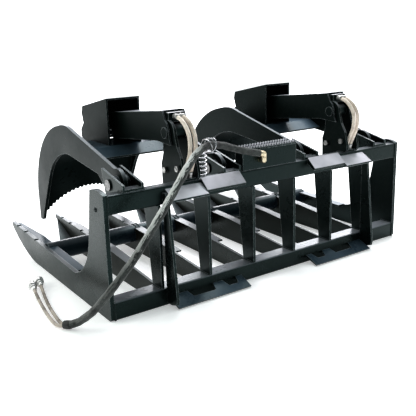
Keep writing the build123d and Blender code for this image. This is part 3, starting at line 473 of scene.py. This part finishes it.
# Meshes for the small parts
def ring_of(mesh, start, turn, reach, radius, count):
    """One ring of vertices round the axis that turn gives, at that reach along it from start."""
    return [mesh.verts.new(Vector(start) + turn @ Vector((radius * math.cos(a), radius * math.sin(a), reach)))
            for a in (2 * math.pi * i / count for i in range(count))]


def skin_over(mesh, rings):
    """Joins rings of vertices into a tube and closes its ends."""
    for one, two in zip(rings, rings[1:]):
        for k in range(len(one)):
            after = (k + 1) % len(one)
            mesh.faces.new((one[k], one[after], two[after], two[k]))
    mesh.faces.new(rings[0][::-1])
    mesh.faces.new(rings[-1])


def revolve(name, profile, start, direction, sides=28):
    """Closed turned piece: profile is (distance along, radius) pairs from start."""
    mesh, along = bmesh.new(), Vector(direction).normalized()
    turn = along.to_track_quat("Z", "Y")
    skin_over(mesh, [ring_of(mesh, start, turn, reach, radius, sides) for reach, radius in profile])
    return close_mesh(name, mesh)


def close_mesh(name, mesh, smooth=False):
    bmesh.ops.recalc_face_normals(mesh, faces=mesh.faces)
    data = bpy.data.meshes.new(name)
    mesh.to_mesh(data)
    mesh.free()
    return link_mesh(name, data, smooth)


def bead_into(mesh, start, end, radius, out):
    """Adds one rippled weld bead from start to end, bulging towards out."""
    start, end, out = Vector(start), Vector(end), Vector(out).normalized()
    run = end - start
    across = run.normalized().cross(out).normalized()
    steps = max(6, int(run.length / (radius * 0.45)))
    rings = []
    for i in range(steps + 1):
        swell = radius * (0.88 + 0.16 * abs(math.sin(i * 0.9 + start.x * 37)))
        swell *= 0.35 if i in (0, steps) else 1.0
        centre = start + run * (i / steps)
        rings.append([mesh.verts.new(centre + swell * (across * math.cos(a) + out * math.sin(a)))
                      for a in (2 * math.pi * k / BEAD_SIDES for k in range(BEAD_SIDES))])
    skin_over(mesh, rings)


def bolt_into(mesh, centre, direction, width, height):
    """Adds one hexagon head with a chamfer, standing on centre."""
    along = Vector(direction).normalized()
    turn = along.to_track_quat("Z", "Y")
    outline = ((0.0, width / 2), (height * 0.75, width / 2), (height, width * 0.42))
    skin_over(mesh, [ring_of(mesh, centre, turn, reach, radius, 6) for reach, radius in outline])


def ring_into(mesh, centre, axis, radius, wire, around=36, sides=8):
    """Adds one closed ring of round wire."""
    turn = Vector(axis).to_track_quat("Z", "Y")
    rings = []
    for i in range(around):
        a = 2 * math.pi * i / around
        out = turn @ Vector((math.cos(a), math.sin(a), 0))
        rise = turn @ Vector((0, 0, 1))
        middle = Vector(centre) + out * radius
        rings.append([mesh.verts.new(middle + wire * (out * math.cos(b) + rise * math.sin(b)))
                      for b in (2 * math.pi * k / sides for k in range(sides))])
    for one, two in zip(rings, rings[1:] + rings[:1]):
        for k in range(sides):
            mesh.faces.new((one[k], one[(k + 1) % sides], two[(k + 1) % sides], two[k]))


def area_light(name, place, target, size, power, colour):
    """Adds a lamp that looks at target and that the camera doesn't see."""
    data = bpy.data.lights.new(name, "AREA")
    data.shape = "RECTANGLE"
    data.size, data.size_y = size
    data.energy = power
    data.color = colour
    lamp = bpy.data.objects.new(name, data)
    lamp.location = place
    lamp.rotation_euler = (Vector(target) - Vector(place)).to_track_quat("-Z", "Y").to_euler()
    lamp.visible_camera = False
    bpy.context.scene.collection.objects.link(lamp)


def bead_on_tube(mesh, x, out, low, high, z, lean, inset):
    """Adds one bead over the depth of a tube, beside a plate that stands on it or under it."""
    bead_into(mesh, (x, low.y + inset, z), (x, high.y - END_INSET, z), BEAD, (out, 0, lean))


make_camera()

# Every paint is paler on faces that look up and along edges, partly a dusting and rubbed metal, partly
# painted light; the arms, bottom tube, skins, strips, lips and teeth get the most, as painted highlights on
# their tops
paint = painted_steel("frame_paint")
arm_paint = painted_steel("arm_paint", roughness=0.33, top_light_and_dust=0.85, specular=0.10, facing_up=(0.30, 0.85))
skin_paint = painted_steel("skin_paint", roughness=0.30, top_light_and_dust=0.8, powder_and_top_light=SKIN_DUST_AND_TOP_LIGHT, specular=0.12)
strip_paint = painted_steel("strip_paint", top_light_and_dust=0.7, powder_and_top_light=SKIN_DUST_AND_TOP_LIGHT, specular=0.12)
pipe_paint = painted_steel("pipe_paint", PIPE_PAINT, 0.24, top_light_and_dust=0.30, specular=0.14)
base_paint = painted_steel("base_paint", top_light_and_dust=0.85, facing_up=(0.30, 0.85))
lip_paint = painted_steel("lip_paint", top_light_and_dust=0.95, powder_and_top_light=LIP_DUST_AND_TOP_LIGHT, facing_up=(0.15, 0.55))
lower_lip_paint = painted_steel("lower_lip_paint", top_light_and_dust=0.75, powder_and_top_light=SKIN_DUST_AND_TOP_LIGHT, facing_up=(0.30, 0.80))
tine_paint = painted_steel("tine_paint", TINE_PAINT, 0.30, top_light_and_dust=0.6)
bead_paint = painted_steel("bead_paint", roughness=0.36, top_light_and_dust=0.3)
# The tread's teeth are pale on nearly every face: partly a dusting, partly painted highlight
tooth_paint = painted_steel("tooth_paint", top_light_and_dust=0.95, powder_and_top_light=LIP_DUST_AND_TOP_LIGHT, facing_up=(-0.1, 0.4))
spring_steel = plated_steel("spring_steel", SPRING_WIRE, 0.22)
zinc = plated_steel("plated_steel")
coupler_steel = plated_steel("coupler_steel", COUPLER_ZINC, 0.24, metallic=0.55)
brass = plated_steel("brass_fitting", BRASS, 0.30)
pin_steel = plated_steel("pin_steel", PIN_STEEL, 0.30)
chrome = chrome_steel()
cylinder_sleeve = woven("cylinder_hose_sleeve", SLEEVE_TAN, SLEEVE_SOIL_AND_SHADE, (60.0, 9.0), soil_and_streak_shade=0.55)
# The bundle's sleeve gets a pale band of painted light on its upper side
bundle_sleeve = woven("bundle_sleeve", BUNDLE_CLOTH, BUNDLE_SOIL_AND_SHADE, (150.0, 12.0), painted_lit_side=BUNDLE_LIT_SIDE,
                      soil_and_streak_shade=0.95)
tail_rubber = rubber("tail_rubber", TAIL_RUBBER)
cuff_rubber = rubber("cuff_rubber", CUFF_RUBBER)

# The bundle of hoses in its sleeve, and the cuff at the sleeve's lower end
bundle, bundle_line = sleeve_tube("hose_bundle_sleeved", BUNDLE_ROUTE, BUNDLE_D, BUNDLE_CREASES, BUNDLE_SEED)
finish_with(bundle, bundle_sleeve)
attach(bundle, "frame")
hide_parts("hose_bundle")

cuff_end = Vector(BUNDLE_ROUTE[-1])
cuff_run = cuff_end - Vector(BUNDLE_ROUTE[-2])
cuff_length = CUFF_PROFILE[-1][0]
cuff = revolve("sleeve_cuff", CUFF_PROFILE, cuff_end - cuff_run.normalized() * cuff_length, cuff_run)
finish_with(cuff, cuff_rubber)
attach(cuff, "frame")

# Two hoses out of the sleeve, each with its quick coupler
for part_of, route in TAIL_ROUTES.items():
    tail = route_curve(f"tail_hose_{part_of}_rubber", route, TAIL_D)
    finish_with(tail, tail_rubber)
    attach(tail, "frame")
    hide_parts(f"tail_hose_{part_of}")
    run = Vector(route[-1]) - Vector(route[-2])
    run.z = 0
    grip = Vector(route[-1]) - run.normalized() * COUPLER_GRIP
    coupler = revolve(f"quick_coupler_{part_of}", COUPLER_PROFILE, grip, run)
    finish_with(coupler, coupler_steel)
    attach(coupler, "frame")
    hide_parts("quick_couplers")

# Two sleeved hoses at each cylinder, with a ferrule at both ends
for hand in HANDS:
    for part_of, offset in CYLINDER_HOSE_OFFSET.items():
        x = CYLINDER_CENTRE[hand] + offset
        route = [(x, y, z) for y, z in CYLINDER_ROUTE]
        sleeved, line = sleeve_tube(f"cylinder_hose_{hand}_{part_of}_sleeved", route, CYLINDER_HOSE_D,
                                    CYLINDER_CREASES, x * CYLINDER_SEED_PER_METRE, sides=20, step=0.003)
        finish_with(sleeved, cylinder_sleeve)
        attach(sleeved, "frame")
        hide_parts(f"cylinder_hose_{hand}_{part_of}")
        for place, one, two in (("head", route[0], route[1]), ("foot", route[-1], route[-2])):
            run = Vector(two) - Vector(one)
            ferrule = revolve(f"ferrule_{hand}_{part_of}_{place}", FERRULE_PROFILE, one, run)
            finish_with(ferrule, zinc)
            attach(ferrule, "frame")

# Materials of the carried-over nodes
BY_NODE = {
    "hinge_pins": pin_steel, "cylinder_base_pins": arm_paint, "tower_bolts": zinc,
    "hose_guide_spring": spring_steel, "coupler_upper_plates": lip_paint,
    "coupler_lower_lip_left": lower_lip_paint, "coupler_lower_lip_right": lower_lip_paint,
    "hose_elbow": brass, "bottom_tube": base_paint, "cross_pipe": pipe_paint, "edge_strips": strip_paint,
    "arm_skin_left": skin_paint, "arm_skin_right": skin_paint,
    "rod_pin_left": arm_paint, "rod_pin_right": arm_paint,
    "cylinder_rod_left": chrome, "cylinder_rod_right": chrome,
}
ARM_NODES = ("hook_", "arm_skin_", "nose_box_", "cylinder_guard_", "cylinder_tower_")
for name, node in NODES.items():
    usual = arm_paint if name.startswith(ARM_NODES) else tine_paint if name.startswith("tine_") else paint
    material = BY_NODE.get(name, usual)
    if not node.data.materials:
        node.data.materials.append(material)
    for slot in node.material_slots:
        slot.material = material

# Weld beads: uprights and tines on the tubes, then brackets, towers and side plates, then rings on the pipe
welds = bmesh.new()
top_low, top_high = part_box("top_tube")
base_low, base_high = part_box("bottom_tube")
for i in range(1, 7):
    low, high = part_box(f"upright_{i}")
    for x, out in ((low.x, -1), (high.x, 1)):
        bead_on_tube(welds, x, out, base_low, base_high, base_high.z, 1, CORNER_INSET)
        bead_on_tube(welds, x, out, top_low, top_high, top_low.z, -1, CORNER_INSET)
    low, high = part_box(f"tine_{i}")
    for out in (-1, 1):
        x = (low.x + high.x) / 2 + out * TINE_BEAD_OUT
        foot, head = base_low.z + TINE_BEAD_RISE, base_high.z - TINE_BEAD_DROP
        bead_into(welds, (x, base_high.y, foot), (x, base_high.y, head), BEAD, (out, 1, 0))
for name in (*(f"hinge_bracket_{i}" for i in range(1, 5)), *(f"cylinder_tower_{hand}" for hand in HANDS)):
    low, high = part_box(name)
    for x, out in ((low.x, -1), (high.x, 1)):
        bead_on_tube(welds, x, out, top_low, top_high, top_high.z, 1, END_INSET)
for hand in HANDS:
    low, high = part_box(f"side_plate_{hand}")
    x, out = (high.x, 1) if hand == "left" else (low.x, -1)
    for tube_low, tube_high in ((top_low, top_high), (base_low, base_high)):
        bead_into(welds, (x, tube_low.y, tube_low.z), (x, tube_low.y, tube_high.z), BEAD, (out, -1, 0))
        bead_into(welds, (x, tube_low.y, tube_high.z), (x, tube_high.y, tube_high.z), BEAD, (out, 0, 1))
pipe_low, pipe_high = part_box("cross_pipe")
pipe_radius, pipe_middle = (pipe_high.y - pipe_low.y) / 2, (pipe_low + pipe_high) / 2
for i in range(1, 7):
    low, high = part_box(f"tine_{i}")
    for out in (-1, 1):
        centre = Vector(((low.x + high.x) / 2 + out * TINE_HALF_THICK, pipe_middle.y, pipe_middle.z))
        ring = [centre + pipe_radius * Vector((0, math.cos(a), math.sin(a)))
                for a in (2 * math.pi * k / RING_SIDES for k in range(RING_SIDES))]
        for one, two in zip(ring, ring[1:] + ring[:1]):
            outward = (one + two) / 2 - centre
            bead_into(welds, one, two, BEAD, Vector((out * pipe_radius, *outward.yz)))
weld_beads = close_mesh("weld_beads", welds, smooth=True)
finish_with(weld_beads, bead_paint)
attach(weld_beads, "frame")

# Wire rings round the bundle above the spring
wires = bmesh.new()
before, after = Vector(BUNDLE_ROUTE[2]), Vector(BUNDLE_ROUTE[3])
ring_middle, ring_run = (before + after) / 2, (after - before).normalized()
for slide, lean, radius in WIRE_RINGS:
    ring_into(wires, ring_middle + ring_run * slide, ring_run + Vector(lean), radius, RING_WIRE)
guide_wires = close_mesh("guide_wires", wires, smooth=True)
finish_with(guide_wires, spring_steel)
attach(guide_wires, "frame")

# A bolt through each side plate
bolts = bmesh.new()
for out in (-1, 1):
    x, y, z = SIDE_BOLT_PLACE
    bolt_into(bolts, (out * x, y, z), (out, 0, 0), SIDE_BOLT_WIDTH, SIDE_BOLT_HEIGHT)
side_bolts = close_mesh("side_bolts", bolts)
finish_with(side_bolts, arm_paint)
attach(side_bolts, "frame")

# Plates that close the pipe's ends
cap_profile = ((0, CAP_RADIUS), (CAP_THICK - CAP_CHAMFER, CAP_RADIUS), (CAP_THICK, CAP_RADIUS - CAP_CHAMFER))
for hand, x, out in (("left", pipe_low.x + CAP_INSET, -1), ("right", pipe_high.x - CAP_INSET, 1)):
    cap = revolve(f"pipe_cap_{hand}", cap_profile, (x, pipe_middle.y, pipe_middle.z), (out, 0, 0))
    finish_with(cap, pipe_paint)
    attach(cap, "frame")

# Teeth along both long edges of the step's tread
teeth = bmesh.new()
tread_low, tread_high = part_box("step_tread")
count = int((tread_high.x - tread_low.x) / TOOTH_PITCH)
for edge in (tread_low.y + TOOTH_INSET, tread_high.y - TOOTH_INSET - TOOTH_WIDTH):
    for i in range(count):
        start = tread_low.x + i * TOOTH_PITCH
        outline = ((start, 0), (start + TOOTH_PITCH, 0), (start + TOOTH_PITCH / 2, TOOTH_HEIGHT))
        near, far = ([teeth.verts.new((x, y, tread_high.z + z)) for x, z in outline]
                     for y in (edge, edge + TOOTH_WIDTH))
        teeth.faces.new(near)
        teeth.faces.new(far[::-1])
        for a, b in ((0, 1), (1, 2), (2, 0)):
            teeth.faces.new((near[a], far[a], far[b], near[b]))
tread_teeth = close_mesh("tread_teeth", teeth)
finish_with(tread_teeth, tooth_paint)
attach(tread_teeth, "frame")

# Floor
floor_mesh = bmesh.new()
bmesh.ops.create_grid(floor_mesh, x_segments=1, y_segments=1, size=FLOOR_REACH)
floor = close_mesh("floor", floor_mesh)
floor.location.z = -FLOOR_DROP
floor_paint, _, floor_shader = new_material("floor", FLOOR_COLOUR, 0.9)
floor_shader.inputs["Emission Color"].default_value = FLOOR_COLOUR
floor_shader.inputs["Emission Strength"].default_value = FLOOR_GLOW
floor.data.materials.append(floor_paint)

# Lamps, and a white world that lights less from behind the camera
for lamp in LAMPS:
    area_light(*lamp)

world = bpy.data.worlds.new("studio")
bpy.context.scene.world = world
world.use_nodes = True
tree = world.node_tree
background = tree.nodes["Background"]
heading = add(tree, "ShaderNodeTexCoord")
facing = add(tree, "ShaderNodeVectorMath", operation="DOT_PRODUCT")
facing.inputs[1].default_value = DIM_SIDE
tree.links.new(heading.outputs["Generated"], facing.inputs[0])
behind = facing.outputs["Value"]
seen = add(tree, "ShaderNodeLightPath").outputs["Is Camera Ray"]
strength = combine(tree, "MAXIMUM", ramp(tree, behind, -0.1, 0.75, 1.0, DIM_STRENGTH), seen)
tree.links.new(strength, background.inputs["Strength"])
tint = mix_colour(tree, ramp(tree, behind, -0.2, 0.3), WORLD_WHITE, WORLD_DIM)
tree.links.new(mix_colour(tree, seen, tint, WORLD_WHITE), background.inputs["Color"])

bpy.context.scene.view_settings.view_transform = "Standard"
bpy.context.scene.view_settings.look = "Medium High Contrast"
bpy.context.view_layer.update()
